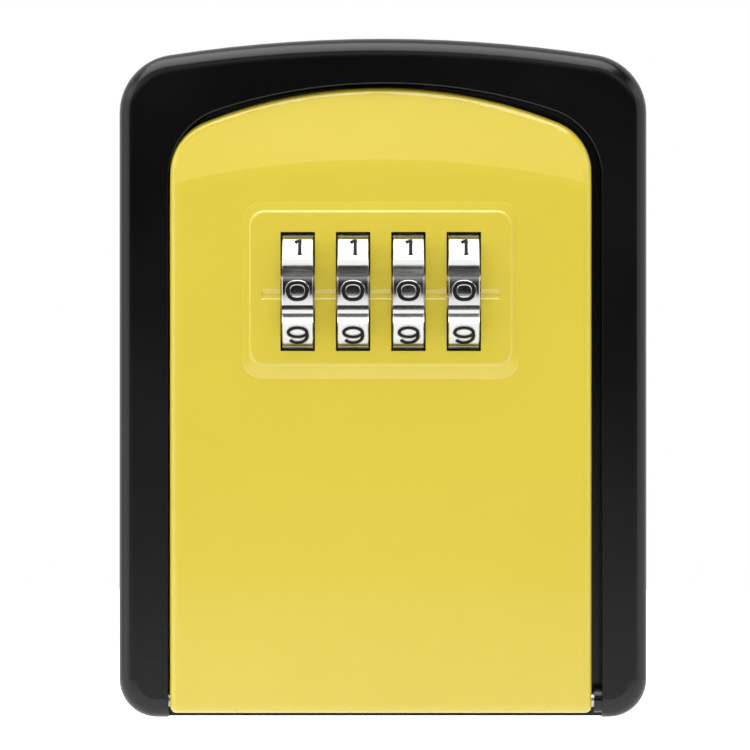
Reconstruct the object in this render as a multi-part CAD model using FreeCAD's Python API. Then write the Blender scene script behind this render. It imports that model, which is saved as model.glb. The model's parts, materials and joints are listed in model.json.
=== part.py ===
import FreeCAD, Part
import math
import os

# Wall-mounted key lock box with a bottom-hinged door and four number wheels.
# Millimetres. +Z is up, the door faces -Y, and the back at +Y goes against the wall.
# The origin is at the middle of the base.

Vector = FreeCAD.Vector
X_AXIS = Vector(1, 0, 0)
Y_AXIS = Vector(0, 1, 0)
Z_AXIS = Vector(0, 0, 1)

# ---------------------------------------------------------------- driving dimensions

# housing
BODY_WIDTH = 94.0
BODY_HEIGHT = 121.0
BODY_FRONT_Y = -14.5
BACK_Y = 20.0
BACK_WALL = 3.0
BODY_TOP_ARC = 250.0
BODY_TOP_CORNER = 10.5
BODY_FOOT_CORNER = 6.75
BODY_FRONT_ROUND = 3.4
BODY_BACK_ROUND = 0.8
FLOOR = 2.5

# opening in the housing that the door closes
RECESS_X = 0.4
RECESS_HALF = 38.55
RECESS_TOP = 112.8
RECESS_ARC = 96.0
RECESS_CORNER = 12.8
RECESS_DEPTH = 5.5
RECESS_EDGE = 0.2

# key space behind the door
CAVITY_HALF = 36.2
CAVITY_TOP = 106.0
CAVITY_ARC = 250.0
CAVITY_CORNER = 8.0
CAVITY_FOOT = 3.0

# door
DOOR_X = -0.4
DOOR_HALF = 37.45
DOOR_BOTTOM = 1.0
DOOR_TOP = 112.2
DOOR_ARC = 83.0
DOOR_CORNER = 9.5
DOOR_FOOT = 1.2
DOOR_FACE_Y = -15.8
DOOR_WALL = 2.5
DOOR_RIM = 2.5
DOOR_DEPTH = 6.5
DOOR_EDGE_ROUND = 1.6
CREASE_TOP = 98.3
CREASE_ARC = 165.0
CREASE_LEAN = 9.0
CREASE_ROUND = 12.0

# raised pad round the wheels, with its code line
PAD_HEIGHT = 0.5
PAD_BASE_HALF = 24.6
PAD_BASE_Z = (60.3, 91.7)
PAD_TOP_HALF = 23.0
PAD_TOP_Z = (63.0, 89.8)
PAD_CORNER = 3.5
PAD_RINGS = ((0.0, 0.0), (0.08, 0.1), (0.78, 0.44), (1.0, 1.0))
PAD_EDGE_ROUND = 0.3
LINE_HALF = 21.2
LINE_WIDTH = 1.8
LINE_DEPTH = 0.24
LINE_DROP = 0.5

# hinge pins
HINGE_Y = -11.8
HINGE_Z = 3.1
PIN_RADIUS = 1.25
PIN_FIT = 0.05
PIN_TIP_X = 43.4
PIN_BOSS_RADIUS = 2.2
PIN_BOSS_GAP = 0.5
LUG_LENGTH = 6.2
LUG_TOP = 7.5

# number wheels
WHEEL_COUNT = 4
WHEEL_PITCH = 9.81
WHEEL_Y = -6.8
WHEEL_Z = 75.8
WHEEL_WIDTH = 5.5
DIGITS = 10
WHEEL_RADIUS = 13.2
FACET_HALF_DEG = 10.9
GROOVE_RADIUS = 11.75
GROOVE_HALF_DEG = 1.5
WHEEL_BEVEL = 0.2
WEB_WIDTH = 2.0
WEB_BORE = 6.0
NOTCH_WIDTH = 1.6
NOTCH_RADIUS = 7.4
RELIEF_RADIUS = 7.8
WINDOW_HALF = 3.05
WINDOW_HALF_HEIGHT = 10.55
POCKET_HALF = 23.0
POCKET_HALF_HEIGHT = 12.0
POCKET_WALL = 1.2

# code sleeves
FIT = 0.05
GAP = 0.3
SLEEVE_SHIFT = 1.6
FLANGE_RADIUS = 8.1
FLANGE_WIDTH = 2.0
FLANGE_OFFSET = 3.15
GATE_WIDTH = 2.4
GATE_FLOOR = 6.5
TAB_WIDTH = 1.0
TAB_RADIUS = 7.1
TAB_LENGTH = 1.0

# shaft, its clips and the return spring
SHAFT_RADIUS = 2.5
SHAFT_GROOVE = 2.0
SHAFT_ENDS = (-28.4, 26.8)
SHAFT_CHAMFER = 0.4
CLIP_RADIUS = 5.4
CLIP_SLOT = 3.4
CLIP_SPANS = ((-23.7, -23.05), (-20.15, -19.35))
RETURN_COIL = 3.6
RETURN_WIRE = 0.35
RETURN_TURNS = 3.0

# lock chassis and cover
CHASSIS_HALF = 27.6
CHASSIS_Z = (60.0, 99.3)
CHASSIS_WALL = 2.0
COVER_Y = 8.0
COVER_WALL = 1.5
COVER_CORNER = 2.0
BOSS_X = 31.0
BOSS_ZS = (64.0, 94.0)
BOSS_RADIUS = 3.0
BOSS_END_Y = -9.8
LUG_THICKNESS = 2.5
POST_X = 29.6
POST_ZS = (72.0, 86.0)
POST_RADIUS = 2.4
POST_START_Y = -7.3
LEDGE_X = 21.8
LEDGE_Z = (82.0, 84.0)
LEDGE_HALF_DEPTH = 3.0

# screws
M3 = 1.5
M3_THREAD_HOLE = 1.25
M3_CLEAR = 1.6
M3_HEAD = 2.7
M3_HEAD_HEIGHT = 2.0
M25_THREAD = 1.2
M25_HEAD = 2.3
M25_HEAD_HEIGHT = 1.5
SOCKET_DEPTH = 0.9
SOCKET_SHARE = 0.55

# latch slide
BAR_HALF = 25.1
BAR_Y = (-9.3, -4.3)
BAR_Z = (90.0, 94.0)
TOOTH_Y = (-7.8, -5.8)
TOOTH_TIP_GAP = 0.4
STEM_HALF = 6.0
STEM_Y = (-11.4, -9.4)
ARM_Z = (90.5, 93.5)
NOSE_TIP = 111.6
NOSE_BEVEL = 0.9
LATCH_TRAVEL = 3.0
KEEPER_ROOM = 0.8
SLOT_PLAY = 0.4
LATCH_COIL = 1.2
LATCH_WIRE = 0.25
LATCH_TURNS = 4.0
LATCH_SPRING_X = 23.6

# detent spring
LEAF = 0.45
LEAF_HALF = 17.0
LEAF_Z = (86.5, 94.0)
FINGER_WIDTH = 3.0
FINGER_PATH = ((7.775, 90.0), (7.775, 79.0), (6.4, 71.7), (7.4, 69.3))
RIVET_X = 9.81
RIVET_Z = 91.0
RIVET_RADIUS = 1.0
RIVET_HEAD = 1.8
RIVET_HEAD_HEIGHT = 0.6

# change lever
LEVER_SWING = 70.0
LEVER_HUB = 3.0
LEVER_CAP = 4.4
LEVER_THICKNESS = 1.5
LEVER_ARM = 12.0
LEVER_ARM_HALF = 2.5
LEVER_FINGER = 1.4
LEVER_GAP = 0.3
LEVER_INNER_Y = 6.6
PEG_RADIUS = 1.1
PEG_Z = 75.9
PEG_GAP = 0.35
RING_Y = (7.0, 7.6)
RING_INNER = 2.5
RING_OUTER = 4.2

# key hook
HOOK_HALF = 4.0
HOOK_STRIP = 1.2
HOOK_TOP = 99.0
HOOK_LOW = 86.5
HOOK_REACH_Y = 12.4
HOOK_TIP = 90.0
HOOK_SCREW_Z = 95.0
HOOK_SCREW_END_Y = 19.4

# holes for the wall screws
WALL_HOLE = 2.4
WALL_HOLE_X = 27.0
WALL_HOLE_ZS = (24.0, 98.0)

# hollows cast into the thick rim from the back
SIDE_HOLLOW = (40.2, 43.6)
SIDE_HOLLOW_Z = (14.0, 100.0)
TOP_HOLLOW_HALF = 30.0
TOP_HOLLOW_Z = (109.2, 116.2)
HOLLOW_FLOOR_Y = -6.0
HOLLOW_ROUND = 1.6

# ---------------------------------------------------------------- worked-out dimensions

BACK_INNER_Y = BACK_Y - BACK_WALL
RECESS_FLOOR_Y = BODY_FRONT_Y + RECESS_DEPTH
DOOR_INNER_Y = DOOR_FACE_Y + DOOR_WALL
DOOR_REAR_Y = DOOR_FACE_Y + DOOR_DEPTH
PAD_Y = DOOR_FACE_Y - PAD_HEIGHT
HINGE_TO_REAR = DOOR_REAR_Y - HINGE_Y
HINGE_TO_BASE = HINGE_Z - DOOR_BOTTOM
FLOOR_FRONT_Y = HINGE_Y + math.hypot(HINGE_TO_REAR, HINGE_TO_BASE) + 1.5 * GAP
WHEEL_XS = [DOOR_X + (i - (WHEEL_COUNT - 1) / 2) * WHEEL_PITCH for i in range(WHEEL_COUNT)]
WHEEL_HALF = WHEEL_WIDTH / 2
SLEEVE_RADIUS = WEB_BORE - FIT
SLEEVE_START = FLANGE_OFFSET + FLANGE_WIDTH - WHEEL_PITCH + GAP
TAB_START = -WHEEL_HALF + WEB_WIDTH - GAP - TAB_LENGTH
STEP_DEG = 360 / DIGITS
CHASSIS_INNER = CHASSIS_HALF - CHASSIS_WALL
COVER_BACK_Y = COVER_Y + COVER_WALL
LEVER_Y = COVER_BACK_Y + LEVER_GAP
PEG_THROW = SLEEVE_SHIFT / (2 * math.sin(math.radians(LEVER_SWING / 2)))
PEG_X = (CLIP_SPANS[0][1] + CLIP_SPANS[1][0]) / 2
LEVER_X = PEG_X + SLEEVE_SHIFT / 2
LEVER_Z = PEG_Z + PEG_THROW * math.cos(math.radians(LEVER_SWING / 2))
PEG_END_Y = WHEEL_Y + SHAFT_RADIUS + PEG_GAP
TOOTH_TIP_Z = WHEEL_Z + FLANGE_RADIUS + TOOTH_TIP_GAP
KEEPER_TOP = NOSE_TIP + LATCH_TRAVEL + KEEPER_ROOM

# ---------------------------------------------------------------- small helpers


def box(x_span, y_span, z_span):
    corner = Vector(x_span[0], y_span[0], z_span[0])
    size = (x_span[1] - x_span[0], y_span[1] - y_span[0], z_span[1] - z_span[0])
    return Part.makeBox(size[0], size[1], size[2], corner)


def rod_x(radius, x_span, y, z):
    return Part.makeCylinder(radius, x_span[1] - x_span[0], Vector(x_span[0], y, z), X_AXIS)


def rod_y(radius, y_span, x, z):
    return Part.makeCylinder(radius, y_span[1] - y_span[0], Vector(x, y_span[0], z), Y_AXIS)


def join(first, others):
    return first.fuse(others).removeSplitter()


def edges_along(shape, axis, test):
    """Straight edges that run along an axis and whose middle passes the test."""
    found = []
    for edge in shape.Edges:
        if not isinstance(edge.Curve, (Part.Line, Part.LineSegment)):
            continue
        run = edge.Vertexes[-1].Point - edge.Vertexes[0].Point
        if abs(run.normalize().dot(axis)) > 0.999 and test(edge.CenterOfMass):
            found.append(edge)
    return found


def edges_at_y(shape, y):
    """Edges that lie in one plane of constant Y."""
    flat = []
    for edge in shape.Edges:
        span = edge.BoundBox
        if abs(span.YMin - y) + abs(span.YMax - y) < 1e-4:
            flat.append(edge)
    return flat


def arched_plate(x, half, bottom, top, arc, corner, foot, y_span):
    """Plate along Y with straight sides, an arched top and rounded corners."""
    blank = box((x - half, x + half), y_span, (bottom, top))
    plate = blank.common(rod_y(arc, y_span, x, top - arc))
    middle = (bottom + top) / 2
    plate = plate.makeFillet(corner, edges_along(plate, Y_AXIS, lambda p: p.z > middle))
    if foot > 0:
        plate = plate.makeFillet(foot, edges_along(plate, Y_AXIS, lambda p: p.z < middle))
    return plate


def rounded_wire(x, half, z_span, corner, y):
    """Closed rectangle with rounded corners in a plane of constant Y."""
    left, right = x - half, x + half
    low, high = z_span
    centres = (
        (right - corner, high - corner, 0),
        (left + corner, high - corner, 90),
        (left + corner, low + corner, 180),
        (right - corner, low + corner, 270),
    )
    arcs = []
    for centre_x, centre_z, start in centres:
        on_arc = []
        for angle in (start, start + 45, start + 90):
            turn = math.radians(angle)
            on_arc.append(Vector(centre_x + corner * math.cos(turn), y, centre_z + corner * math.sin(turn)))
        arcs.append(Part.Arc(on_arc[0], on_arc[1], on_arc[2]).toShape())
    edges = []
    for arc, following in zip(arcs, arcs[1:] + arcs[:1]):
        edges.append(arc)
        edges.append(Part.makeLine(arc.Vertexes[-1].Point, following.Vertexes[0].Point))
    return Part.Wire(Part.__sortEdges__(edges))


def rounded_block(x, half, z_span, corner, y_span):
    face = Part.Face(rounded_wire(x, half, z_span, corner, y_span[0]))
    return face.extrude(Vector(0, y_span[1] - y_span[0], 0))


def bent_strip(path, thickness, x_span):
    """Sheet strip that follows a path of (y, z) points, with rounded bends."""
    pieces = []
    for (y0, z0), (y1, z1) in zip(path, path[1:]):
        length = math.hypot(y1 - y0, z1 - z0)
        piece = box(x_span, (0, length), (-thickness / 2, thickness / 2))
        piece.rotate(Vector(0, 0, 0), X_AXIS, math.degrees(math.atan2(z1 - z0, y1 - y0)))
        piece.translate(Vector(0, y0, z0))
        pieces.append(piece)
    for y, z in path[1:-1]:
        pieces.append(rod_x(thickness / 2, x_span, y, z))
    return join(pieces[0], pieces[1:])


def coil(mean_radius, wire, turns, base, axis, length):
    """Open compression spring that starts at a base point and runs along an axis."""
    helix = Part.makeLongHelix((length - 2 * wire) / turns, length - 2 * wire, mean_radius)
    section = Part.Wire([Part.makeCircle(wire, Vector(mean_radius, 0, 0), Y_AXIS)])
    spring = Part.Wire(helix.Edges).makePipeShell([section], True, True)
    spring.translate(Vector(0, 0, wire))
    spring.Placement = FreeCAD.Placement(base, FreeCAD.Rotation(Z_AXIS, axis)).multiply(spring.Placement)
    return spring


def socket_screw(x, z, head_y, shank_end_y, shank, head, head_height, outward):
    """Screw along Y. outward is +1 when the head faces +Y and -1 when it faces -Y."""
    head_span = sorted((head_y, head_y + outward * head_height))
    top = head_y + outward * head_height
    socket_span = sorted((top, top - outward * SOCKET_DEPTH))
    body = rod_y(head, head_span, x, z)
    body = body.makeChamfer(0.3, edges_at_y(body, top))
    body = body.fuse(rod_y(shank, sorted((head_y, shank_end_y)), x, z))
    outline = []
    for angle in range(0, 361, 60):
        turn = math.radians(angle)
        reach = SOCKET_SHARE * head
        outline.append(Vector(x + reach * math.cos(turn), socket_span[0], z + reach * math.sin(turn)))
    socket = Part.Face(Part.makePolygon(outline)).extrude(Vector(0, SOCKET_DEPTH, 0))
    return body.cut(socket)


def export(name, solids):
    shape = solids[0] if len(solids) == 1 else Part.makeCompound(solids)
    for solid in solids:
        if not solid.isValid() or solid.Volume <= 0:
            print("bad solid in", name)
    shape.exportStep("parts/" + name + ".step")


# ---------------------------------------------------------------- housing and what is fixed in it


def make_housing():
    width_half = BODY_WIDTH / 2
    body = arched_plate(
        0,
        width_half,
        0,
        BODY_HEIGHT,
        BODY_TOP_ARC,
        BODY_TOP_CORNER,
        BODY_FOOT_CORNER,
        (BODY_FRONT_Y, BACK_Y),
    )
    body = body.makeFillet(BODY_FRONT_ROUND, edges_at_y(body, BODY_FRONT_Y))
    body = body.makeFillet(BODY_BACK_ROUND, edges_at_y(body, BACK_Y))

    recess = arched_plate(
        RECESS_X,
        RECESS_HALF,
        -1,
        RECESS_TOP,
        RECESS_ARC,
        RECESS_CORNER,
        0,
        (BODY_FRONT_Y - 1, RECESS_FLOOR_Y),
    )
    cavity = arched_plate(
        RECESS_X,
        CAVITY_HALF,
        FLOOR,
        CAVITY_TOP,
        CAVITY_ARC,
        CAVITY_CORNER,
        CAVITY_FOOT,
        (RECESS_FLOOR_Y - 1, BACK_INNER_Y),
    )
    swing_room = box(
        (RECESS_X - RECESS_HALF, RECESS_X + RECESS_HALF),
        (RECESS_FLOOR_Y - 1, FLOOR_FRONT_Y),
        (-1, LUG_TOP + 1),
    )
    keeper = box(
        (DOOR_X - STEM_HALF - 2 * SLOT_PLAY, DOOR_X + STEM_HALF + 2 * SLOT_PLAY),
        (STEM_Y[0] - SLOT_PLAY, RECESS_FLOOR_Y),
        (RECESS_TOP - RECESS_DEPTH, KEEPER_TOP),
    )
    body = body.cut([recess, cavity])
    body = body.makeFillet(RECESS_EDGE, [edge for edge in edges_at_y(body, BODY_FRONT_Y) if in_recess(edge)])
    recess_right = RECESS_X + RECESS_HALF
    boss_span = (DOOR_X + DOOR_HALF + PIN_BOSS_GAP, recess_right + PIN_BOSS_GAP)
    body = body.cut([swing_room, keeper]).fuse(rod_x(PIN_BOSS_RADIUS, boss_span, HINGE_Y, HINGE_Z))

    holes = [rod_x(PIN_RADIUS, (-PIN_TIP_X, PIN_TIP_X), HINGE_Y, HINGE_Z)]
    holes.append(rod_y(M3_THREAD_HOLE, (BACK_INNER_Y - 1, HOOK_SCREW_END_Y), 0, HOOK_SCREW_Z))
    for x in (-WALL_HOLE_X, WALL_HOLE_X):
        for z in WALL_HOLE_ZS:
            holes.append(rod_y(WALL_HOLE, (BACK_INNER_Y - 1, BACK_Y + 1), x, z))
    side_middle = (SIDE_HOLLOW[0] + SIDE_HOLLOW[1]) / 2
    side_half = (SIDE_HOLLOW[1] - SIDE_HOLLOW[0]) / 2
    hollow_span = (HOLLOW_FLOOR_Y, BACK_Y + 1)
    for side in (-1, 1):
        holes.append(rounded_block(side * side_middle, side_half, SIDE_HOLLOW_Z, HOLLOW_ROUND, hollow_span))
    holes.append(rounded_block(0, TOP_HOLLOW_HALF, TOP_HOLLOW_Z, HOLLOW_ROUND, hollow_span))
    return body.cut(holes)


def in_recess(edge):
    middle = edge.CenterOfMass
    return abs(middle.x - RECESS_X) < RECESS_HALF + RECESS_EDGE and middle.z < RECESS_TOP + RECESS_EDGE


def make_hinge_pins():
    inner = LUG_LENGTH - GAP
    right = (DOOR_X + DOOR_HALF - inner, PIN_TIP_X)
    left = (-PIN_TIP_X, DOOR_X - DOOR_HALF + inner)
    return [rod_x(PIN_RADIUS, span, HINGE_Y, HINGE_Z) for span in (left, right)]


def make_key_hook():
    plate_y = BACK_INNER_Y - HOOK_STRIP / 2
    path = ((plate_y, HOOK_TOP), (plate_y, HOOK_LOW), (HOOK_REACH_Y, HOOK_LOW), (HOOK_REACH_Y, HOOK_TIP))
    hook = bent_strip(path, HOOK_STRIP, (-HOOK_HALF, HOOK_HALF))
    return hook.cut(rod_y(M3, (HOOK_REACH_Y + HOOK_STRIP, BACK_Y), 0, HOOK_SCREW_Z))


def make_hook_screw():
    seat_y = BACK_INNER_Y - HOOK_STRIP
    end_y = HOOK_SCREW_END_Y
    return socket_screw(0, HOOK_SCREW_Z, seat_y, end_y, M3_THREAD_HOLE, M3_HEAD, M3_HEAD_HEIGHT, -1)


# ---------------------------------------------------------------- door


def lean_back_above_crease(door):
    """Plane off the face above an arched, softly rounded crease, so that it leans back."""
    rise = DOOR_WALL
    spread = rise / math.tan(math.radians(CREASE_LEAN))
    middle = Vector(DOOR_X, DOOR_FACE_Y, CREASE_TOP - CREASE_ARC)
    cone = Part.makeCone(CREASE_ARC, CREASE_ARC + spread, rise, middle, Y_AXIS)
    front_layer = box(
        (DOOR_X - 2 * DOOR_HALF, DOOR_X + 2 * DOOR_HALF),
        (DOOR_FACE_Y, DOOR_FACE_Y + rise),
        (CREASE_TOP - 20, DOOR_TOP + 20),
    )
    door = door.cut(front_layer.cut(cone))
    arcs = [edge for edge in edges_at_y(door, DOOR_FACE_Y) if isinstance(edge.Curve, Part.Circle)]
    crease = [edge for edge in arcs if abs(edge.Curve.Radius - CREASE_ARC) < 1e-3]
    return door.makeFillet(CREASE_ROUND, crease)


def make_door_panel():
    door = arched_plate(
        DOOR_X, DOOR_HALF, DOOR_BOTTOM, DOOR_TOP, DOOR_ARC, DOOR_CORNER, DOOR_FOOT, (DOOR_FACE_Y, DOOR_REAR_Y)
    )
    door = lean_back_above_crease(door)
    door = door.makeFillet(DOOR_EDGE_ROUND, front_rim(door))
    hollow = arched_plate(
        DOOR_X,
        DOOR_HALF - DOOR_RIM,
        DOOR_BOTTOM + DOOR_RIM,
        DOOR_TOP - DOOR_RIM,
        DOOR_ARC - DOOR_RIM,
        DOOR_CORNER - DOOR_RIM,
        DOOR_FOOT,
        (DOOR_INNER_Y, DOOR_REAR_Y + 1),
    )
    door = door.cut(hollow)

    lugs = []
    for side in (-1, 1):
        ends = sorted((DOOR_X + side * DOOR_HALF, DOOR_X + side * (DOOR_HALF - LUG_LENGTH)))
        lugs.append(box(ends, (DOOR_INNER_Y - 0.5, DOOR_REAR_Y), (DOOR_BOTTOM + DOOR_RIM / 2, LUG_TOP)))
    bosses = []
    for side in (-1, 1):
        for z in BOSS_ZS:
            bosses.append(rod_y(BOSS_RADIUS, (DOOR_INNER_Y - 0.5, BOSS_END_Y), DOOR_X + side * BOSS_X, z))
    door = join(door, [make_pad()] + lugs + bosses)

    line_radius = ((LINE_WIDTH / 2) ** 2 + LINE_DEPTH**2) / (2 * LINE_DEPTH)
    line_span = (DOOR_X - LINE_HALF, DOOR_X + LINE_HALF)
    cuts = [rod_x(line_radius, line_span, PAD_Y + LINE_DEPTH - line_radius, WHEEL_Z - LINE_DROP)]
    cuts.append(
        box(
            (DOOR_X - POCKET_HALF, DOOR_X + POCKET_HALF),
            (PAD_Y + POCKET_WALL, DOOR_INNER_Y + 1),
            (WHEEL_Z - POCKET_HALF_HEIGHT, WHEEL_Z + POCKET_HALF_HEIGHT),
        )
    )
    for x in WHEEL_XS:
        cuts.append(
            box(
                (x - WINDOW_HALF, x + WINDOW_HALF),
                (PAD_Y - 1, DOOR_INNER_Y + 1),
                (WHEEL_Z - WINDOW_HALF_HEIGHT, WHEEL_Z + WINDOW_HALF_HEIGHT),
            )
        )
    for side in (-1, 1):
        ends = sorted((DOOR_X + side * (DOOR_HALF + 1), DOOR_X + side * (DOOR_HALF - LUG_LENGTH - 1)))
        cuts.append(rod_x(PIN_RADIUS + PIN_FIT, ends, HINGE_Y, HINGE_Z))
        for z in BOSS_ZS:
            thread_y = (DOOR_INNER_Y - 1.2, BOSS_END_Y + 1)
            cuts.append(rod_y(M3_THREAD_HOLE, thread_y, DOOR_X + side * BOSS_X, z))
    cuts.append(
        box(
            (DOOR_X - STEM_HALF - SLOT_PLAY, DOOR_X + STEM_HALF + SLOT_PLAY),
            (STEM_Y[0] - SLOT_PLAY, DOOR_REAR_Y + 1),
            (DOOR_TOP - 2 * DOOR_RIM, DOOR_TOP + 1),
        )
    )
    return door.cut(cuts)


def make_pad():
    """Raised pad. Its sides climb in steps; each ring is (share of the way in, share of the height)."""
    rings = []
    for inward, rise in PAD_RINGS:
        half = PAD_BASE_HALF + inward * (PAD_TOP_HALF - PAD_BASE_HALF)
        low, high = [base + inward * (top - base) for base, top in zip(PAD_BASE_Z, PAD_TOP_Z)]
        y = DOOR_FACE_Y - rise * PAD_HEIGHT
        rings.append(rounded_wire(DOOR_X, half, (low, high), PAD_CORNER - inward, y))
    pad = Part.makeLoft(rings, True, True)
    return pad.makeFillet(PAD_EDGE_ROUND, edges_at_y(pad, PAD_Y))


def front_rim(door):
    """Edges round the face of the door blank: all that touch both the face and the side walls."""
    rim = []
    upright = [face for face in door.Faces if face.BoundBox.YLength > 1]
    side_faces = [face for face in upright if face.BoundBox.YMax > DOOR_REAR_Y - 1e-3]
    face_faces = [face for face in door.Faces if face.BoundBox.YMax < DOOR_INNER_Y]
    for face in face_faces:
        for edge in face.Edges:
            for side in side_faces:
                if any(edge.isSame(other) for other in side.Edges):
                    rim.append(edge)
    return rim


# ---------------------------------------------------------------- wheels, sleeves and shaft


def wheel_point(x, radius, angle_deg):
    """Point of a wheel's outline. Angle 0 points to the front and grows upwards."""
    turn = math.radians(angle_deg)
    return Vector(x, WHEEL_Y - radius * math.cos(turn), WHEEL_Z + radius * math.sin(turn))


def make_number_wheel(x):
    left = x - WHEEL_HALF
    right = x + WHEEL_HALF
    edges = []
    for digit in range(DIGITS):
        middle = digit * STEP_DEG
        groove = middle + STEP_DEG / 2
        on_facet = []
        for angle in (-FACET_HALF_DEG, 0, FACET_HALF_DEG):
            on_facet.append(wheel_point(left, WHEEL_RADIUS, middle + angle))
        floor = []
        for angle in (-GROOVE_HALF_DEG, GROOVE_HALF_DEG):
            floor.append(wheel_point(left, GROOVE_RADIUS, groove + angle))
        following = wheel_point(left, WHEEL_RADIUS, middle + STEP_DEG - FACET_HALF_DEG)
        edges.append(Part.Arc(on_facet[0], on_facet[1], on_facet[2]).toShape())
        edges.append(Part.makeLine(on_facet[2], floor[0]))
        edges.append(Part.makeLine(floor[0], floor[1]))
        edges.append(Part.makeLine(floor[1], following))
    wheel = Part.Face(Part.Wire(edges)).extrude(Vector(WHEEL_WIDTH, 0, 0))
    envelope = rod_x(WHEEL_RADIUS + 0.05, (left, right), WHEEL_Y, WHEEL_Z)
    wheel = wheel.common(envelope.makeChamfer(WHEEL_BEVEL, [e for e in envelope.Edges if e.Closed]))

    cuts = [
        rod_x(WEB_BORE, (left - 1, right + 1), WHEEL_Y, WHEEL_Z),
        rod_x(RELIEF_RADIUS, (left + WEB_WIDTH, right + 1), WHEEL_Y, WHEEL_Z),
    ]
    for digit in range(DIGITS):
        notch = box(
            (left - 1, left + WEB_WIDTH + 0.5),
            (WHEEL_Y - NOTCH_RADIUS, WHEEL_Y),
            (WHEEL_Z - NOTCH_WIDTH / 2, WHEEL_Z + NOTCH_WIDTH / 2),
        )
        notch.rotate(Vector(x, WHEEL_Y, WHEEL_Z), X_AXIS, digit * STEP_DEG)
        cuts.append(notch)
    return wheel.cut(cuts)


def make_code_sleeve(x):
    flange_span = (x + FLANGE_OFFSET, x + FLANGE_OFFSET + FLANGE_WIDTH)
    body = rod_x(SLEEVE_RADIUS, (x + SLEEVE_START, flange_span[1]), WHEEL_Y, WHEEL_Z)
    flange = rod_x(FLANGE_RADIUS, flange_span, WHEEL_Y, WHEEL_Z)
    tab = box(
        (x + TAB_START, x + TAB_START + TAB_LENGTH),
        (WHEEL_Y - TAB_RADIUS, WHEEL_Y - SLEEVE_RADIUS + 0.5),
        (WHEEL_Z - TAB_WIDTH / 2, WHEEL_Z + TAB_WIDTH / 2),
    )
    gate = box(
        (flange_span[0], flange_span[1] + 1),
        (WHEEL_Y - GATE_WIDTH / 2, WHEEL_Y + GATE_WIDTH / 2),
        (WHEEL_Z + GATE_FLOOR, WHEEL_Z + FLANGE_RADIUS + 1),
    )
    bore = rod_x(SHAFT_RADIUS + FIT, (x + SLEEVE_START - 1, flange_span[1] + 1), WHEEL_Y, WHEEL_Z)
    return join(body, [flange, tab]).cut([gate, bore])


def make_wheel_shaft():
    shaft = rod_x(SHAFT_RADIUS, (DOOR_X + SHAFT_ENDS[0], DOOR_X + SHAFT_ENDS[1]), WHEEL_Y, WHEEL_Z)
    shaft = shaft.makeChamfer(SHAFT_CHAMFER, [edge for edge in shaft.Edges if edge.Closed])
    for start, end in CLIP_SPANS:
        span = (DOOR_X + start, DOOR_X + end)
        groove = rod_x(SHAFT_RADIUS + 1, span, WHEEL_Y, WHEEL_Z)
        shaft = shaft.cut(groove.cut(rod_x(SHAFT_GROOVE, span, WHEEL_Y, WHEEL_Z)))
    return shaft


def make_shaft_clips():
    clips = []
    for start, end in CLIP_SPANS:
        span = (DOOR_X + start, DOOR_X + end)
        clip = rod_x(CLIP_RADIUS, span, WHEEL_Y, WHEEL_Z)
        slot_y = (WHEEL_Y - CLIP_SLOT / 2, WHEEL_Y + CLIP_SLOT / 2)
        slot = box(span, slot_y, (WHEEL_Z, WHEEL_Z + CLIP_RADIUS + 1))
        clips.append(clip.cut([rod_x(SHAFT_GROOVE, span, WHEEL_Y, WHEEL_Z), slot]))
    return clips


def make_sleeve_return_spring():
    start = WHEEL_XS[-1] + FLANGE_OFFSET + FLANGE_WIDTH + GAP
    base = Vector(start, WHEEL_Y, WHEEL_Z)
    length = DOOR_X + CHASSIS_INNER - start
    return coil(RETURN_COIL, RETURN_WIRE, RETURN_TURNS, base, X_AXIS, length)


# ---------------------------------------------------------------- lock chassis, cover and their screws


def make_lock_chassis():
    depth = (DOOR_INNER_Y, COVER_Y)
    ring = rounded_block(DOOR_X, CHASSIS_HALF, CHASSIS_Z, COVER_CORNER, depth)
    inner_z = (CHASSIS_Z[0] + CHASSIS_WALL, CHASSIS_Z[1] - CHASSIS_WALL)
    ring = ring.cut(box((DOOR_X - CHASSIS_INNER, DOOR_X + CHASSIS_INNER), depth, inner_z))
    additions = []
    through = (DOOR_X - CHASSIS_HALF - 1, DOOR_X + CHASSIS_HALF + 1)
    holes = [rod_x(SHAFT_RADIUS + FIT, through, WHEEL_Y, WHEEL_Z)]
    for side in (-1, 1):
        wall_x = DOOR_X + side * (CHASSIS_HALF - CHASSIS_WALL / 2)
        for z in BOSS_ZS:
            x = DOOR_X + side * BOSS_X
            span = (BOSS_END_Y, BOSS_END_Y + LUG_THICKNESS)
            additions.append(rod_y(BOSS_RADIUS, span, x, z))
            additions.append(box(sorted((x, wall_x)), span, (z - BOSS_RADIUS, z + BOSS_RADIUS)))
            holes.append(rod_y(M3_CLEAR, (span[0] - 1, span[1] + 1), x, z))
        for z in POST_ZS:
            x = DOOR_X + side * POST_X
            span = (POST_START_Y, COVER_Y)
            additions.append(rod_y(POST_RADIUS, span, x, z))
            additions.append(box(sorted((x, wall_x)), span, (z - POST_RADIUS, z + POST_RADIUS)))
            holes.append(rod_y(M25_THREAD, (span[0] + 1, span[1] + 1), x, z))
        ledge_x = sorted((DOOR_X + side * LEDGE_X, wall_x))
        ledge_y = (WHEEL_Y - LEDGE_HALF_DEPTH, WHEEL_Y + LEDGE_HALF_DEPTH)
        additions.append(box(ledge_x, ledge_y, LEDGE_Z))
    chassis = join(ring, additions)
    holes.append(
        box(
            (DOOR_X - STEM_HALF - SLOT_PLAY, DOOR_X + STEM_HALF + SLOT_PLAY),
            (DOOR_INNER_Y, STEM_Y[1] + SLOT_PLAY),
            (inner_z[1] - 1, CHASSIS_Z[1] + 1),
        )
    )
    return chassis.cut(holes)


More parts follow.
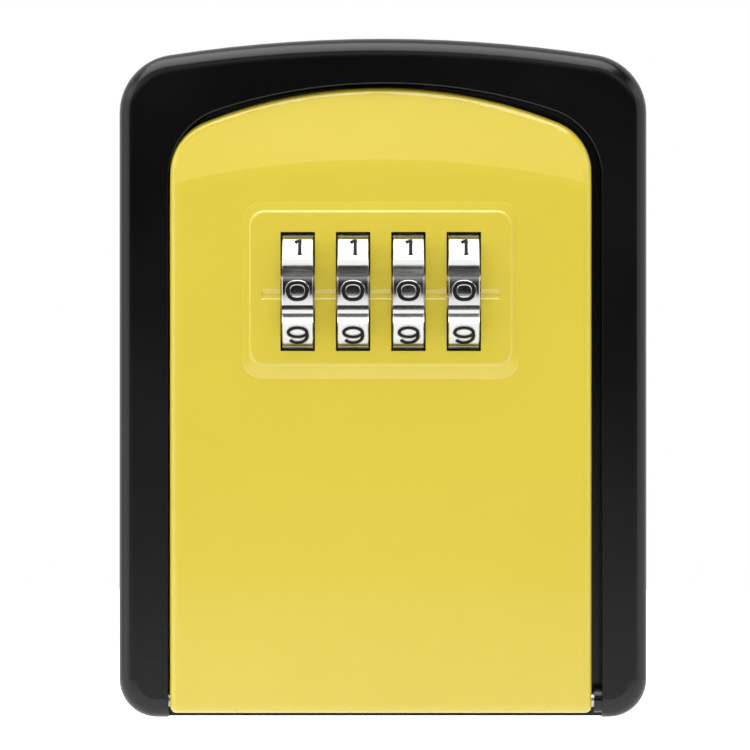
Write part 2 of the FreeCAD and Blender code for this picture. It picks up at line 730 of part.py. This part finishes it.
def make_chassis_screws():
    screws = []
    seat_y = BOSS_END_Y + LUG_THICKNESS
    for side in (-1, 1):
        for z in BOSS_ZS:
            x = DOOR_X + side * BOSS_X
            end_y = DOOR_INNER_Y - 1
            screws.append(socket_screw(x, z, seat_y, end_y, M3_THREAD_HOLE, M3_HEAD, M3_HEAD_HEIGHT, 1))
    return screws


def make_lock_cover():
    span = (COVER_Y, COVER_BACK_Y)
    plate = rounded_block(DOOR_X, CHASSIS_HALF, CHASSIS_Z, COVER_CORNER, span)
    ears = []
    holes = [rod_y(LEVER_HUB + FIT, (COVER_Y - 1, COVER_BACK_Y + 1), DOOR_X + LEVER_X, LEVER_Z)]
    for side in (-1, 1):
        for z in POST_ZS:
            x = DOOR_X + side * POST_X
            inner_x = DOOR_X + side * (CHASSIS_HALF - 1)
            ears.append(rod_y(POST_RADIUS, span, x, z))
            ears.append(box(sorted((x, inner_x)), span, (z - POST_RADIUS, z + POST_RADIUS)))
            holes.append(rod_y(M25_THREAD, (COVER_Y - 1, COVER_BACK_Y + 1), x, z))
        holes.append(rod_y(RIVET_RADIUS, (COVER_Y - 1, COVER_BACK_Y + 1), DOOR_X + side * RIVET_X, RIVET_Z))
    return join(plate, ears).cut(holes)


def make_cover_screws():
    screws = []
    for side in (-1, 1):
        for z in POST_ZS:
            x = DOOR_X + side * POST_X
            end_y = COVER_Y - 9
            screws.append(socket_screw(x, z, COVER_BACK_Y, end_y, M25_THREAD, M25_HEAD, M25_HEAD_HEIGHT, 1))
    return screws


# ---------------------------------------------------------------- latch, detent and change lever


def make_latch_slide():
    bar = box((DOOR_X - BAR_HALF, DOOR_X + BAR_HALF), BAR_Y, BAR_Z)
    pieces = []
    for x in WHEEL_XS:
        teeth_x = (x + FLANGE_OFFSET, x + FLANGE_OFFSET + FLANGE_WIDTH)
        pieces.append(box(teeth_x, TOOTH_Y, (TOOTH_TIP_Z, BAR_Z[0] + 1)))
    stem_x = (DOOR_X - STEM_HALF, DOOR_X + STEM_HALF)
    pieces.append(box(stem_x, (STEM_Y[0], BAR_Y[0] + 1), ARM_Z))
    stem = box(stem_x, STEM_Y, (ARM_Z[0], NOSE_TIP))
    stem = stem.makeChamfer(NOSE_BEVEL, edges_along(stem, X_AXIS, lambda p: p.z > NOSE_TIP - 0.1))
    return join(bar, pieces + [stem])


def make_latch_springs():
    springs = []
    for side in (-1, 1):
        base = Vector(DOOR_X + side * LATCH_SPRING_X, WHEEL_Y, LEDGE_Z[1])
        length = BAR_Z[0] - LEDGE_Z[1] - GAP
        springs.append(coil(LATCH_COIL, LATCH_WIRE, LATCH_TURNS, base, Z_AXIS, length))
    return springs


def make_detent_spring():
    base = box((DOOR_X - LEAF_HALF, DOOR_X + LEAF_HALF), (COVER_Y - LEAF, COVER_Y), LEAF_Z)
    fingers = []
    for x in WHEEL_XS:
        fingers.append(bent_strip(FINGER_PATH, LEAF, (x - FINGER_WIDTH / 2, x + FINGER_WIDTH / 2)))
    holes = []
    for side in (-1, 1):
        holes.append(rod_y(RIVET_RADIUS, (COVER_Y - 1, COVER_Y + 1), DOOR_X + side * RIVET_X, RIVET_Z))
    return join(base, fingers).cut(holes)


def make_detent_rivets():
    rivets = []
    front = COVER_Y - LEAF
    for side in (-1, 1):
        x = DOOR_X + side * RIVET_X
        shank = rod_y(RIVET_RADIUS, (front, COVER_BACK_Y), x, RIVET_Z)
        inner_head = rod_y(RIVET_HEAD, (front - RIVET_HEAD_HEIGHT, front), x, RIVET_Z)
        outer_head = rod_y(RIVET_HEAD, (COVER_BACK_Y, COVER_BACK_Y + RIVET_HEAD_HEIGHT), x, RIVET_Z)
        rivets.append(join(shank, [inner_head, outer_head]))
    return rivets


def make_change_lever():
    x = DOOR_X + LEVER_X
    plate_span = (LEVER_Y, LEVER_Y + LEVER_THICKNESS)
    cap = rod_y(LEVER_CAP, plate_span, x, LEVER_Z)
    arm_end = LEVER_Z - LEVER_ARM
    arm = box((x - LEVER_ARM_HALF, x + LEVER_ARM_HALF), plate_span, (arm_end, LEVER_Z))
    tip = rod_y(LEVER_ARM_HALF, plate_span, x, arm_end)
    finger_z = (arm_end - 0.5, arm_end + 0.5)
    finger_y = (plate_span[1] - 0.5, plate_span[1] + LEVER_FINGER)
    finger = box((x - LEVER_ARM_HALF + 0.4, x + LEVER_ARM_HALF - 0.4), finger_y, finger_z)
    hub = rod_y(LEVER_HUB, (LEVER_INNER_Y, plate_span[1] - 0.5), x, LEVER_Z)
    hub = hub.cut(rod_y(LEVER_HUB + 1, RING_Y, x, LEVER_Z).cut(rod_y(RING_INNER, RING_Y, x, LEVER_Z)))
    peg = rod_y(PEG_RADIUS, (PEG_END_Y, LEVER_INNER_Y + 0.5), DOOR_X + PEG_X, PEG_Z)
    return join(cap, [arm, tip, finger, hub, peg])


def make_lever_clip():
    x = DOOR_X + LEVER_X
    ring = rod_y(RING_OUTER, RING_Y, x, LEVER_Z)
    slot = box((x - RING_INNER * 0.7, x + RING_INNER * 0.7), RING_Y, (LEVER_Z, LEVER_Z + RING_OUTER + 1))
    return ring.cut([rod_y(RING_INNER, RING_Y, x, LEVER_Z), slot])


# ---------------------------------------------------------------- write every node

os.makedirs("parts", exist_ok=True)

export("housing", [make_housing()])
export("hinge_pins", make_hinge_pins())
export("key_hook", [make_key_hook()])
export("hook_screw", [make_hook_screw()])
export("door_panel", [make_door_panel()])
for number, wheel_x in enumerate(WHEEL_XS, start=1):
    export("number_wheel_" + str(number), [make_number_wheel(wheel_x)])
    export("code_sleeve_" + str(number), [make_code_sleeve(wheel_x)])
export("wheel_shaft", [make_wheel_shaft()])
export("shaft_clips", make_shaft_clips())
export("sleeve_return_spring", [make_sleeve_return_spring()])
export("lock_chassis", [make_lock_chassis()])
export("chassis_screws", make_chassis_screws())
export("lock_cover", [make_lock_cover()])
export("cover_screws", make_cover_screws())
export("latch_slide", [make_latch_slide()])
export("latch_springs", make_latch_springs())
export("detent_spring", [make_detent_spring()])
export("detent_rivets", make_detent_rivets())
export("change_lever", [make_change_lever()])
export("lever_clip", [make_lever_clip()])
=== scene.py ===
"""Looks of the key lock box: enamel, powder coat, plated wheels with painted digits, studio light."""

import json
import math

import bmesh
import bpy
from mathutils import Matrix, Vector


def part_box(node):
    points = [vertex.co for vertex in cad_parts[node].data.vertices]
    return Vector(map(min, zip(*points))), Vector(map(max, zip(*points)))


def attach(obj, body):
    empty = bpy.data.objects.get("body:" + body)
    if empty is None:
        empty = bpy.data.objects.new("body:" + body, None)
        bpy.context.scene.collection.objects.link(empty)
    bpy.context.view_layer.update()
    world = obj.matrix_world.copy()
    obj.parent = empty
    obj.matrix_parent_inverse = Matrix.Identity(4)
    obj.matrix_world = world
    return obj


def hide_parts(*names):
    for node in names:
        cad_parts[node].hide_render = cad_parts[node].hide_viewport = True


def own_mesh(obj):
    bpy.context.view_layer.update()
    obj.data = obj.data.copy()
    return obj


MM = 0.001

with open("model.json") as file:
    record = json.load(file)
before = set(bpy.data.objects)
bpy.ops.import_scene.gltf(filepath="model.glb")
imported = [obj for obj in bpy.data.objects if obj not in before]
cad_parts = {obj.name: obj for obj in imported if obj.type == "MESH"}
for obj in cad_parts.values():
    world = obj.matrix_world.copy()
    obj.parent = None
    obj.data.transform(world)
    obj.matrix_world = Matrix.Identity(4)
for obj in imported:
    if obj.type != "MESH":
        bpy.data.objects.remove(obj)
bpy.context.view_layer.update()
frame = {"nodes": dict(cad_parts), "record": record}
NODES = frame["nodes"]
SLOT_OF_NODE = {part["node"]: part["material_slot"] for part in frame["record"]["subparts"]}
HOUSING_LOW, HOUSING_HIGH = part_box("housing")
WHEEL_COUNT = sum(name.startswith("number_wheel_") for name in NODES)

# ---------------------------------------------------------------- shader building blocks


def link_value(tree, value, socket):
    """Feeds a socket from another socket, or sets it when the value is plain."""
    if isinstance(value, bpy.types.NodeSocket):
        tree.links.new(value, socket)
    else:
        socket.default_value = value


def add_node(tree, kind, **settings):
    """Adds a node and sets its properties. The dict called feed fills its inputs by name."""
    feed = settings.pop("feed", {})
    node = tree.nodes.new(kind)
    for name, value in settings.items():
        setattr(node, name, value)
    for name, value in feed.items():
        link_value(tree, value, node.inputs[name])
    return node


def grey(level):
    return (level, level, level, 1)


def shade_of(colour, share):
    """A colour made darker: its red, green and blue times a share."""
    return tuple(share * channel for channel in colour) + (1,)


def ramp(tree, factor, stops):
    """Grey ramp from (position, level) stops. Returns its colour."""
    node = add_node(tree, "ShaderNodeValToRGB", feed={"Fac": factor})
    elements = node.color_ramp.elements
    while len(elements) < len(stops):
        elements.new(0.5)
    for element, (position, level) in zip(elements, stops):
        element.position = position
        element.color = grey(level)
    return node.outputs["Color"]


def math_node(tree, operation, first, second):
    node = add_node(tree, "ShaderNodeMath", operation=operation)
    link_value(tree, first, node.inputs[0])
    link_value(tree, second, node.inputs[1])
    return node.outputs[0]


def blend_colours(tree, factor, first, second):
    node = add_node(tree, "ShaderNodeMix", data_type="RGBA")
    link_value(tree, factor, node.inputs[0])
    link_value(tree, first, node.inputs[6])
    link_value(tree, second, node.inputs[7])
    return node.outputs[2]


def noise(tree, place, scale, detail=2.0, roughness=0.5):
    feed = {"Vector": place, "Scale": scale, "Detail": detail, "Roughness": roughness}
    return add_node(tree, "ShaderNodeTexNoise", feed=feed).outputs["Fac"]


def group_shell(name, inputs, outputs):
    """Empty node group with named sockets. Returns the group, its input node and its output node."""
    group = bpy.data.node_groups.new(name, "ShaderNodeTree")
    for socket_name, kind, default in inputs:
        socket = group.interface.new_socket(name=socket_name, in_out="INPUT", socket_type=kind)
        if default is not None:
            socket.default_value = default
    for socket_name, kind in outputs:
        group.interface.new_socket(name=socket_name, in_out="OUTPUT", socket_type=kind)
    return group, group.nodes.new("NodeGroupInput"), group.nodes.new("NodeGroupOutput")


def make_orange_peel():
    """Skin of a sprayed or baked coat: low waves with a finer grain on top."""
    group, given, result = group_shell(
        "orange_peel",
        [
            ("Place", "NodeSocketVector", None),
            ("Wave Scale", "NodeSocketFloat", 500.0),
            ("Grain", "NodeSocketFloat", 0.3),
        ],
        [("Height", "NodeSocketFloat")],
    )
    waves = noise(group, given.outputs["Place"], given.outputs["Wave Scale"], 1.0)
    fine_scale = math_node(group, "MULTIPLY", given.outputs["Wave Scale"], 5.0)
    fine = noise(group, given.outputs["Place"], fine_scale, 2.0, 0.6)
    fine = math_node(group, "MULTIPLY", fine, given.outputs["Grain"])
    group.links.new(math_node(group, "ADD", waves, fine), result.inputs["Height"])
    return group


def make_brushing():
    """Long fine lines of a brushed or drawn metal, along X of the place it is given."""
    group, given, result = group_shell(
        "brushing",
        [("Place", "NodeSocketVector", None), ("Fineness", "NodeSocketFloat", 4000.0)],
        [("Lines", "NodeSocketFloat")],
    )
    stretched = add_node(group, "ShaderNodeMapping", feed={"Vector": given.outputs["Place"]})
    stretched.inputs["Scale"].default_value = (0.03, 1.0, 1.0)
    lines = noise(group, stretched.outputs["Vector"], given.outputs["Fineness"], 3.0, 0.6)
    group.links.new(lines, result.inputs["Lines"])
    return group


def make_handling():
    """Soft patches left by handling, and a scatter of tiny nicks. Both are masks from 0 to 1."""
    group, given, result = group_shell(
        "handling",
        [
            ("Place", "NodeSocketVector", None),
            ("Patch Scale", "NodeSocketFloat", 30.0),
            ("Nick Scale", "NodeSocketFloat", 700.0),
        ],
        [("Patches", "NodeSocketFloat"), ("Nicks", "NodeSocketFloat")],
    )
    patches = noise(group, given.outputs["Place"], given.outputs["Patch Scale"], 3.0, 0.55)
    patches = ramp(group, patches, [(0.40, 0.0), (0.68, 1.0)])
    group.links.new(patches, result.inputs["Patches"])
    cells = add_node(
        group,
        "ShaderNodeTexVoronoi",
        feature="F1",
        feed={"Vector": given.outputs["Place"], "Scale": given.outputs["Nick Scale"], "Randomness": 1.0},
    )
    sparse = noise(group, given.outputs["Place"], given.outputs["Patch Scale"], 2.0)
    sparse = ramp(group, sparse, [(0.58, 0.0), (0.66, 1.0)])
    dots = ramp(group, cells.outputs["Distance"], [(0.06, 1.0), (0.12, 0.0)])
    group.links.new(math_node(group, "MULTIPLY", dots, sparse), result.inputs["Nicks"])
    return group


ORANGE_PEEL = make_orange_peel()
BRUSHING = make_brushing()
HANDLING = make_handling()


def use_group(tree, group, **feed):
    """Places a shared group. Each key names an input in small letters: wave_scale feeds Wave Scale."""
    node = tree.nodes.new("ShaderNodeGroup")
    node.node_tree = group
    for name, value in feed.items():
        link_value(tree, value, node.inputs[name.replace("_", " ").title()])
    return node


def start_material(name, **settings):
    """Material with a Principled shader. Plain numbers and colours go on the shader's own sockets."""
    material = bpy.data.materials.new(name)
    material.use_nodes = True
    tree = material.node_tree
    shader = tree.nodes["Principled BSDF"]
    for socket_name, value in settings.items():
        shader.inputs[socket_name.replace("_", " ")].default_value = value
    place = tree.nodes.new("ShaderNodeTexCoord").outputs["Object"]
    return material, tree, shader, place


def add_bump(tree, shader, height, depth, distance):
    """Turns a height into the shader's normal. The distance is in millimetres."""
    feed = {"Height": height, "Strength": depth, "Distance": distance * MM}
    bump = add_node(tree, "ShaderNodeBump", feed=feed)
    tree.links.new(bump.outputs["Normal"], shader.inputs["Normal"])


def spread(tree, mask, low, high):
    """Turns a 0 to 1 mask into a value between two levels."""
    node = add_node(tree, "ShaderNodeMapRange", feed={"Value": mask, "To Min": low, "To Max": high})
    return node.outputs["Result"]


# ---------------------------------------------------------------- finishes


def yellow_enamel():
    """Glossy sprayed enamel under a thin clear coat."""
    material, tree, shader, place = start_material(
        "yellow_enamel", IOR=1.5, Coat_Weight=0.6, Coat_Roughness=0.05, Coat_IOR=1.5
    )
    marks = use_group(tree, HANDLING, place=place, patch_scale=28.0, nick_scale=900.0)
    fresh, worn = (0.700, 0.562, 0.062, 1), (0.684, 0.546, 0.056, 1)
    tint = blend_colours(tree, marks.outputs["Patches"], fresh, worn)
    chipped = math_node(tree, "MULTIPLY", marks.outputs["Nicks"], 0.12)
    tree.links.new(blend_colours(tree, chipped, tint, (0.35, 0.27, 0.05, 1)), shader.inputs["Base Color"])
    tree.links.new(spread(tree, marks.outputs["Patches"], 0.16, 0.20), shader.inputs["Roughness"])
    skin = use_group(tree, ORANGE_PEEL, place=place, wave_scale=420.0, grain=0.15)
    add_bump(tree, shader, skin.outputs["Height"], 0.06, 0.05)
    return material


def black_powder_coat():
    """Smooth baked coat with a fine skin."""
    material, tree, shader, place = start_material("black_powder_coat", IOR=1.45)
    marks = use_group(tree, HANDLING, place=place, patch_scale=24.0, nick_scale=800.0)
    fresh, worn = (0.0012, 0.0012, 0.0014, 1), (0.0018, 0.0018, 0.0021, 1)
    tint = blend_colours(tree, marks.outputs["Patches"], fresh, worn)
    chipped = math_node(tree, "MULTIPLY", marks.outputs["Nicks"], 0.08)
    tree.links.new(blend_colours(tree, chipped, tint, grey(0.06)), shader.inputs["Base Color"])
    tree.links.new(spread(tree, marks.outputs["Patches"], 0.20, 0.25), shader.inputs["Roughness"])
    skin = use_group(tree, ORANGE_PEEL, place=place, wave_scale=900.0, grain=0.5)
    add_bump(tree, shader, skin.outputs["Height"], 0.10, 0.05)
    return material


def plated_metal(name, colour, rough_low, rough_high, fineness, bump):
    """Metal with fine lines, soft patches and tiny nicks."""
    material, tree, shader, place = start_material(name, Metallic=1.0)
    lines = use_group(tree, BRUSHING, place=place, fineness=fineness).outputs["Lines"]
    marks = use_group(tree, HANDLING, place=place, patch_scale=60.0, nick_scale=1500.0)
    tint = blend_colours(tree, lines, shade_of(colour, 0.82), shade_of(colour, 1.0))
    nicked = blend_colours(tree, marks.outputs["Nicks"], tint, shade_of(colour, 0.45))
    tree.links.new(nicked, shader.inputs["Base Color"])
    half_lines = math_node(tree, "MULTIPLY", lines, 0.5)
    half_patches = math_node(tree, "MULTIPLY", marks.outputs["Patches"], 0.5)
    mixed = math_node(tree, "ADD", half_lines, half_patches)
    tree.links.new(spread(tree, mixed, rough_low, rough_high), shader.inputs["Roughness"])
    add_bump(tree, shader, lines, bump, 0.02)
    return material


def cast_metal(name, colour, rough_low, rough_high):
    """Bare die-cast metal: cloudy, slightly pitted."""
    material, tree, shader, place = start_material(name, Metallic=0.9)
    clouds = noise(tree, place, 90.0, 4.0, 0.6)
    marks = use_group(tree, HANDLING, place=place, patch_scale=45.0, nick_scale=1100.0)
    tint = blend_colours(tree, clouds, shade_of(colour, 0.7), shade_of(colour, 1.0))
    pitted = math_node(tree, "MULTIPLY", marks.outputs["Nicks"], 0.6)
    tree.links.new(blend_colours(tree, pitted, tint, grey(0.08)), shader.inputs["Base Color"])
    tree.links.new(spread(tree, clouds, rough_low, rough_high), shader.inputs["Roughness"])
    skin = use_group(tree, ORANGE_PEEL, place=place, wave_scale=1200.0, grain=0.8)
    add_bump(tree, shader, skin.outputs["Height"], 0.25, 0.05)
    return material


def digit_paint():
    """Flat black paint with a faint grain."""
    material, tree, shader, place = start_material("digit_paint", IOR=1.3)
    grain = noise(tree, place, 2600.0, 3.0)
    tree.links.new(blend_colours(tree, grain, grey(0.002), grey(0.006)), shader.inputs["Base Color"])
    tree.links.new(spread(tree, grain, 0.4, 0.6), shader.inputs["Roughness"])
    add_bump(tree, shader, grain, 0.2, 0.01)
    return material


def studio_floor():
    """Pale floor that shows as plain white."""
    material, tree, shader, place = start_material("studio_floor", Roughness=0.6)
    mottle = noise(tree, place, 6.0, 2.0)
    tree.links.new(blend_colours(tree, mottle, grey(0.90), grey(0.93)), shader.inputs["Base Color"])
    seen = tree.nodes.new("ShaderNodeLightPath").outputs["Is Camera Ray"]
    shader.inputs["Emission Color"].default_value = (1, 1, 1, 1)
    tree.links.new(spread(tree, seen, 0.15, 0.75), shader.inputs["Emission Strength"])
    return material


FINISH_OF_SLOT = {
    "yellow_enamel": yellow_enamel(),
    "black_powder_coat": black_powder_coat(),
    "wheel_chrome": plated_metal("wheel_chrome", (0.64, 0.64, 0.63), 0.10, 0.24, 5200.0, 0.10),
    "pin_steel": plated_metal("pin_steel", (0.62, 0.62, 0.61), 0.22, 0.38, 4200.0, 0.12),
    "plated_steel": plated_metal("plated_steel", (0.50, 0.51, 0.52), 0.32, 0.48, 3000.0, 0.15),
    "screw_steel": plated_metal("screw_steel", (0.50, 0.51, 0.52), 0.24, 0.40, 3600.0, 0.12),
    "spring_steel": plated_metal("spring_steel", (0.42, 0.42, 0.43), 0.24, 0.36, 3800.0, 0.10),
    "latch_steel": plated_metal("latch_steel", (0.56, 0.56, 0.55), 0.28, 0.44, 2800.0, 0.16),
    "sleeve_brass": plated_metal("sleeve_brass", (0.72, 0.52, 0.22), 0.22, 0.38, 4200.0, 0.12),
    "cast_zinc": cast_metal("cast_zinc", (0.46, 0.47, 0.48), 0.42, 0.60),
    "lever_zinc": cast_metal("lever_zinc", (0.56, 0.56, 0.55), 0.34, 0.50),
}
DIGIT_PAINT = digit_paint()


def finish_cad_nodes():
    """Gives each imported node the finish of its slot."""
    for name, node in NODES.items():
        for holder in node.material_slots:
            holder.material = FINISH_OF_SLOT[SLOT_OF_NODE[name]]


# ---------------------------------------------------------------- objects and round bars


def add_object(name, data):
    holder = bpy.data.objects.new(name, data)
    bpy.context.scene.collection.objects.link(holder)
    return holder


def bar_mesh(name, routes, radius):
    """Mesh of round bars. Each route is its points and whether it closes on itself."""
    line = bpy.data.curves.new(name, "CURVE")
    line.dimensions = "3D"
    line.bevel_depth = radius
    line.bevel_resolution = 3
    line.use_fill_caps = True
    for points, closed in routes:
        spline = line.splines.new("POLY")
        spline.points.add(len(points) - 1)
        for point, (x, y, z) in zip(spline.points, points):
            point.co = (x, y, z, 1)
        spline.use_cyclic_u = closed
    carrier = add_object(name, line)
    bpy.context.view_layer.update()
    solid = carrier.evaluated_get(bpy.context.evaluated_depsgraph_get())
    mesh = bpy.data.meshes.new_from_object(solid)
    bpy.data.objects.remove(carrier)
    bpy.data.curves.remove(line)
    return mesh


# ---------------------------------------------------------------- figures on the wheels

DIGIT_COUNT = 10
STEP = 2 * math.pi / DIGIT_COUNT
WHEEL_RADIUS = 13.2 * MM
MERGE_DISTANCE = 0.001 * MM

# Sizes of the figures on the flat, in millimetres.
STROKE_HALF = 0.36
RIM_HALF = 0.48
PAINT_RISE = 0.16
RIM_RISE = 0.08
STROKE_STEP = 0.3
SAME_POINT = 1e-6
HALF_WIDE = 1.70
HALF_HIGH = 1.60


def bow(middle, radii, start, stop, count=20, power=1.0):
    """Points along part of an oval, with angles in degrees. A power below 1 squares its shoulders."""
    points = []
    for step in range(count + 1):
        turn = math.radians(start + (stop - start) * step / count)
        across = math.copysign(abs(math.cos(turn)) ** power, math.cos(turn))
        along = math.copysign(abs(math.sin(turn)) ** power, math.sin(turn))
        points.append((middle[0] + radii[0] * across, middle[1] + radii[1] * along))
    return points


def figure_strokes():
    """Centre lines of the figures 0 to 9. Each figure is a list of strokes."""
    wide, high = HALF_WIDE, HALF_HIGH
    loop = (wide * 0.97, high * 0.60)
    nine = [bow((0, high - loop[1]), loop, 0, 360), bow((0, 0), (wide, high), 22, -140)]
    upper, lower = (0, high * 0.5), (0, -high * 0.5)
    small, large = (wide * 0.85, high * 0.5), (wide, high * 0.5)
    five_top = [(wide * 0.9, high), (-wide * 0.75, high), (-wide * 0.85, high * 0.1)]
    five_bowl = bow((0, -high * 0.35), (wide, high * 0.65), 140, -150)
    two_top = bow((0, high * 0.45), (wide * 0.95, high * 0.55), 165, -35)
    return [
        [bow((0, 0), (wide, high * 0.93), 0, 360, 36, 0.84)],
        [[(-0.45, high * 0.68), (0.05, high * 0.84), (0.38, high), (0.38, -high)]],
        [two_top + [(-wide, -high), (wide, -high)]],
        [bow(upper, small, 150, -90), bow(lower, large, 90, -150)],
        [[(wide * 0.45, -high), (wide * 0.45, high), (-wide, -high * 0.4), (wide, -high * 0.4)]],
        [five_top + five_bowl],
        [[(-x, -y) for x, y in stroke] for stroke in nine],
        [[(-wide, high), (wide, high), (-wide * 0.3, -high)]],
        [bow(upper, small, 0, 360), bow(lower, large, 0, 360)],
        nine,
    ]


def spaced(stroke):
    """Fills the long straights of a stroke with points, so that it can bend round the wheel."""
    points = [stroke[0]]
    for start, end in zip(stroke, stroke[1:]):
        count = max(1, round(math.dist(start, end) / STROKE_STEP))
        for step in range(1, count + 1):
            share = step / count
            points.append((start[0] + share * (end[0] - start[0]), start[1] + share * (end[1] - start[1])))
    return points


def figure_mesh(strokes, half, rise):
    """Flattened round-topped bars along the centre lines of one figure, lying in the XY plane."""
    routes = []
    for stroke in strokes:
        closed = math.dist(stroke[0], stroke[-1]) < SAME_POINT
        points = spaced(stroke)[:-1] if closed else spaced(stroke)
        routes.append(([(x * MM, y * MM, 0) for x, y in points], closed))
    mesh = bar_mesh("figure", routes, half * MM)
    mesh.transform(Matrix.Diagonal((1, 1, rise / half, 1)))
    return mesh


def wheel_figures(number, part, half, rise, material):
    """Ten figures wrapped round one wheel. Figure 0 faces the front and the count goes up the wheel."""
    low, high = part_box(f"number_wheel_{number}")
    centre = (Vector(low) + Vector(high)) / 2
    ring = bmesh.new()
    for digit, strokes in enumerate(figure_strokes()):
        figure = figure_mesh(strokes, half, rise)
        for vertex in figure.vertices:
            x, along, above = vertex.co
            turn = digit * STEP + along / WHEEL_RADIUS
            radius = WHEEL_RADIUS + above
            vertex.co = centre + Vector((x, -radius * math.cos(turn), radius * math.sin(turn)))
        ring.from_mesh(figure)
        bpy.data.meshes.remove(figure)
    bmesh.ops.remove_doubles(ring, verts=ring.verts, dist=MERGE_DISTANCE)
    bmesh.ops.recalc_face_normals(ring, faces=ring.faces)
    name = f"wheel_{number}_{part}"
    mesh = bpy.data.meshes.new(name)
    ring.to_mesh(mesh)
    ring.free()
    mesh.shade_smooth()
    mesh.materials.append(material)
    piece = add_object(name, mesh)
    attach(piece, f"wheel_{number}")


# ---------------------------------------------------------------- sleeve return spring

SPRING_WIRE = 0.35 * MM
SPRING_TURNS = 3
STEPS_PER_TURN = 24


def return_spring():
    """Open coil between the last sleeve and the chassis, built at the length of its CAD part. The real
    spring shortens as the sleeves are pushed along; this mesh keeps one length.
    """
    low, high = (Vector(corner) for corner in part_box("sleeve_return_spring"))
    middle = (low + high) / 2
    length = high.x - low.x
    mean_radius = (high.z - low.z) / 2 - SPRING_WIRE
    total = SPRING_TURNS * STEPS_PER_TURN
    points = []
    for step in range(total + 1):
        turn = 2 * math.pi * step / STEPS_PER_TURN
        x = low.x + SPRING_WIRE + (length - 2 * SPRING_WIRE) * step / total
        y = middle.y + mean_radius * math.cos(turn)
        points.append((x, y, middle.z + mean_radius * math.sin(turn)))
    mesh = bar_mesh("return_spring", [(points, False)], SPRING_WIRE)
    mesh.shade_smooth()
    mesh.materials.append(FINISH_OF_SLOT["spring_steel"])
    piece = add_object("return_spring", mesh)
    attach(piece, "door")
    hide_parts("sleeve_return_spring")
    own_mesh(piece)


# ---------------------------------------------------------------- studio

FLOOR_DROP = Vector((0, 0, -60 * MM))
FLOOR_HALF = 1.6
FLOOR_SQUARES = 8

DARK = 0.012
ROOM_WHITE = 0.95
TURN_TO_BEHIND = (-0.05, 0.3)

# Light that comes from the front, by height of its direction: a bright strip, and the ceiling.
FRONT_LIGHT = [(0.30, DARK), (0.36, 0.85), (0.48, 0.85), (0.54, DARK), (0.84, DARK), (0.94, 0.8)]

# Each panel's place, its width and height, all in metres, and its power in watts.
PANELS = {
    "overhead": ((-0.1, -0.27, 0.88), (1.3, 0.8), 11.6),
    "left_side": ((-0.95, -0.25, 0.30), (0.7, 0.9), 2.6),
    "right_side": ((0.95, -0.20, 0.30), (0.7, 0.9), 2.0),
}

VIEW_WIDTH = 133.2 * MM
CAMERA_DISTANCE = 0.74
CAMERA_X = -1.42 * MM
CAMERA_Z = 61.0 * MM
SENSOR_WIDTH = 36.0
NEAR_CLIP = 0.01


def make_floor():
    """White floor below the box, which hangs on a wall: low enough for the open door to clear it."""
    sheet = bmesh.new()
    lowered = Matrix.Translation(FLOOR_DROP)
    squares = FLOOR_SQUARES
    bmesh.ops.create_grid(sheet, x_segments=squares, y_segments=squares, size=FLOOR_HALF, matrix=lowered)
    mesh = bpy.data.meshes.new("studio_floor")
    sheet.to_mesh(mesh)
    sheet.free()
    mesh.materials.append(studio_floor())
    floor = add_object("studio_floor", mesh)


def make_world():
    """White room behind. In front it is dark but for one strip and the ceiling. The camera sees white."""
    world = bpy.data.worlds.new("studio")
    world.use_nodes = True
    tree = world.node_tree
    tree.nodes.clear()
    direction = tree.nodes.new("ShaderNodeTexCoord").outputs["Generated"]
    parts = add_node(tree, "ShaderNodeSeparateXYZ", feed={"Vector": direction})
    start, stop = TURN_TO_BEHIND
    feed = {"Value": parts.outputs["Y"], "From Min": start, "From Max": stop}
    behind = add_node(tree, "ShaderNodeMapRange", feed=feed)
    front = ramp(tree, parts.outputs["Z"], FRONT_LIGHT)
    room = blend_colours(tree, behind.outputs["Result"], front, grey(ROOM_WHITE))
    seen = tree.nodes.new("ShaderNodeLightPath").outputs["Is Camera Ray"]
    shade = blend_colours(tree, seen, room, grey(1))
    background = add_node(tree, "ShaderNodeBackground", feed={"Color": shade, "Strength": 1.0})
    output = tree.nodes.new("ShaderNodeOutputWorld")
    tree.links.new(background.outputs["Background"], output.inputs["Surface"])
    bpy.context.scene.world = world


def make_lights():
    """Soft rectangular lights that face the middle of the front."""
    middle = Vector((0, HOUSING_LOW[1], (HOUSING_LOW[2] + HOUSING_HIGH[2]) / 2))
    for name, (place, size, power) in PANELS.items():
        light = bpy.data.lights.new(name, "AREA")
        light.shape = "RECTANGLE"
        light.size, light.size_y = size
        light.energy = power
        panel = add_object(name, light)
        panel.location = place
        panel.rotation_euler = (middle - Vector(place)).to_track_quat("-Z", "Y").to_euler()


def make_camera():
    """Square-on view of the front, with the box slightly right of the middle."""
    camera = bpy.data.cameras.new("front_camera")
    camera.sensor_width = SENSOR_WIDTH
    camera.lens = SENSOR_WIDTH * CAMERA_DISTANCE / VIEW_WIDTH
    camera.clip_start = NEAR_CLIP
    eye = add_object("front_camera", camera)
    eye.location = (CAMERA_X, HOUSING_LOW[1] - CAMERA_DISTANCE, CAMERA_Z)
    eye.rotation_euler = (math.pi / 2, 0, 0)
    bpy.context.scene.camera = eye


def main():
    finish_cad_nodes()
    chrome = FINISH_OF_SLOT["wheel_chrome"]
    for number in range(1, WHEEL_COUNT + 1):
        wheel_figures(number, "rims", RIM_HALF, RIM_RISE, chrome)
        wheel_figures(number, "figures", STROKE_HALF, PAINT_RISE, DIGIT_PAINT)
    return_spring()
    make_floor()
    make_world()
    make_lights()
    make_camera()
    bpy.context.scene.view_settings.view_transform = "Standard"


main()
